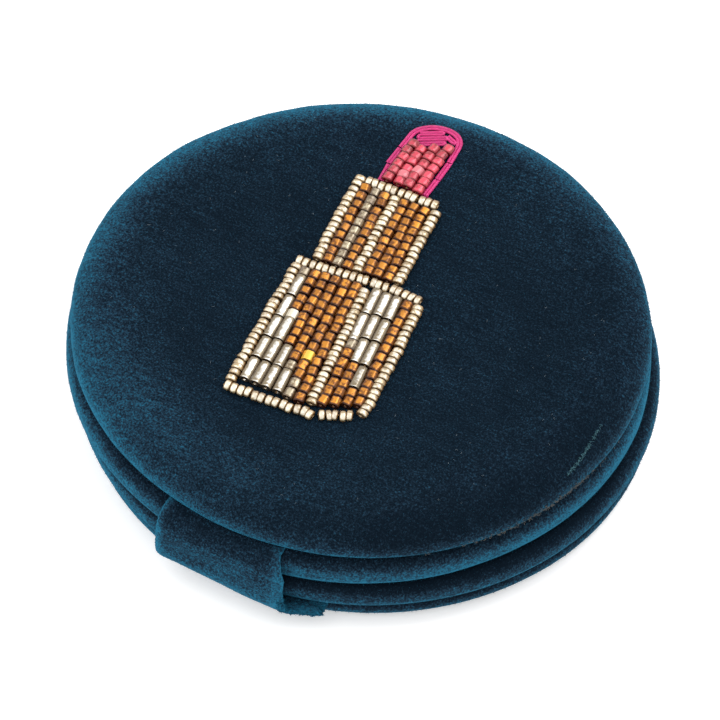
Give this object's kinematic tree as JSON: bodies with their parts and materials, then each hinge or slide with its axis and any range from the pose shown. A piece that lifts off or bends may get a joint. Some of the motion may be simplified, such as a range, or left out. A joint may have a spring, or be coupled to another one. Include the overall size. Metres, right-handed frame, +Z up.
{
  "type": "folding pocket mirror",
  "caption": "Round padded velvet pocket mirror that folds in two on a cloth hinge, with a lipstick worked in glass beads and wire on its lid.",
  "frame": {"origin": "centre of the base's flat resting face, with the case closed", "axes": "+Z up out of the lid, -Z out of the resting face, -Y towards the cloth hinge, +X to the right seen from the hinge side with the lid on top"},
  "size_m": [0.1015, 0.1017, 0.0238],
  "materials": {
    "velvet_pad": "dark blue-green velvet, short dense pile",
    "velvet_ring": "dark blue-green velvet rolled over a ring",
    "velvet_hinge": "dark blue-green velvet ribbon",
    "lining": "smooth woven backing cloth",
    "foam": "soft open-cell padding",
    "wadding": "loose white wadding",
    "board": "grey-brown pressed board",
    "tape": "white double-sided tape",
    "mirror_glass": "silvered flat glass, ground edge",
    "magnet": "nickel-plated disc magnet",
    "gold_glass": "silver-lined pale gold seed beads",
    "silver_glass": "silver-lined champagne bugle beads",
    "clear_glass": "clear champagne glass",
    "amber_glass": "translucent brown-amber glass",
    "red_glass": "translucent coral-red glass",
    "pink_purl": "coiled pink lacquered wire",
    "thread": "fine sewing thread"
  },
  "bodies": {
    "base": {"base_cover": "velvet_pad", "base_foam": "foam", "base_board": "board", "base_mirror_tape": "tape", "base_mirror": "mirror_glass", "base_ring_spacer": "board", "base_ring_card": "board", "base_ring_wadding": "wadding", "base_ring_cover": "velvet_ring", "base_magnet": "magnet", "base_hinge_tail": "velvet_hinge"},
    "hinge_band": {"hinge_spine_cloth": "velvet_hinge", "hinge_spine_lining": "lining"},
    "lid": {"lid_cover": "velvet_pad", "lid_foam": "foam", "lid_board": "board", "lid_mirror_tape": "tape", "lid_mirror": "mirror_glass", "lid_ring_spacer": "board", "lid_ring_card": "board", "lid_ring_wadding": "wadding", "lid_ring_cover": "velvet_ring", "lid_magnet": "magnet", "lid_hinge_tail": "velvet_hinge", "tube_outline_beads": "gold_glass", "tube_ridge_beads": "gold_glass", "tube_left_bugles": "silver_glass", "tube_right_bugles": "silver_glass", "tube_clear_beads": "clear_glass", "tube_left_amber_beads": "amber_glass", "tube_right_amber_beads": "amber_glass", "collar_outline_beads": "gold_glass", "collar_gold_beads": "gold_glass", "collar_clear_beads": "clear_glass", "collar_amber_beads": "amber_glass", "lip_red_beads": "red_glass", "lip_outline_purl": "pink_purl", "lip_tip_purl": "pink_purl", "bead_threads": "thread"}
  },
  "joints": [
    {"name": "band_fold", "type": "hinge", "parent": "base", "child": "hinge_band", "pos_m": [-0.0015, -0.05063, 0.00579], "axis": [1, 0, 0], "range_deg": [0, 85]},
    {"name": "lid_fold", "type": "hinge", "parent": "hinge_band", "child": "lid", "pos_m": [-0.0015, -0.05063, 0.01521], "axis": [1, 0, 0], "range_deg": [0, 85]}
  ],
  "couplings": [
    {"joint": "band_fold", "follows": "lid_fold", "ratio": 1}
  ]
}
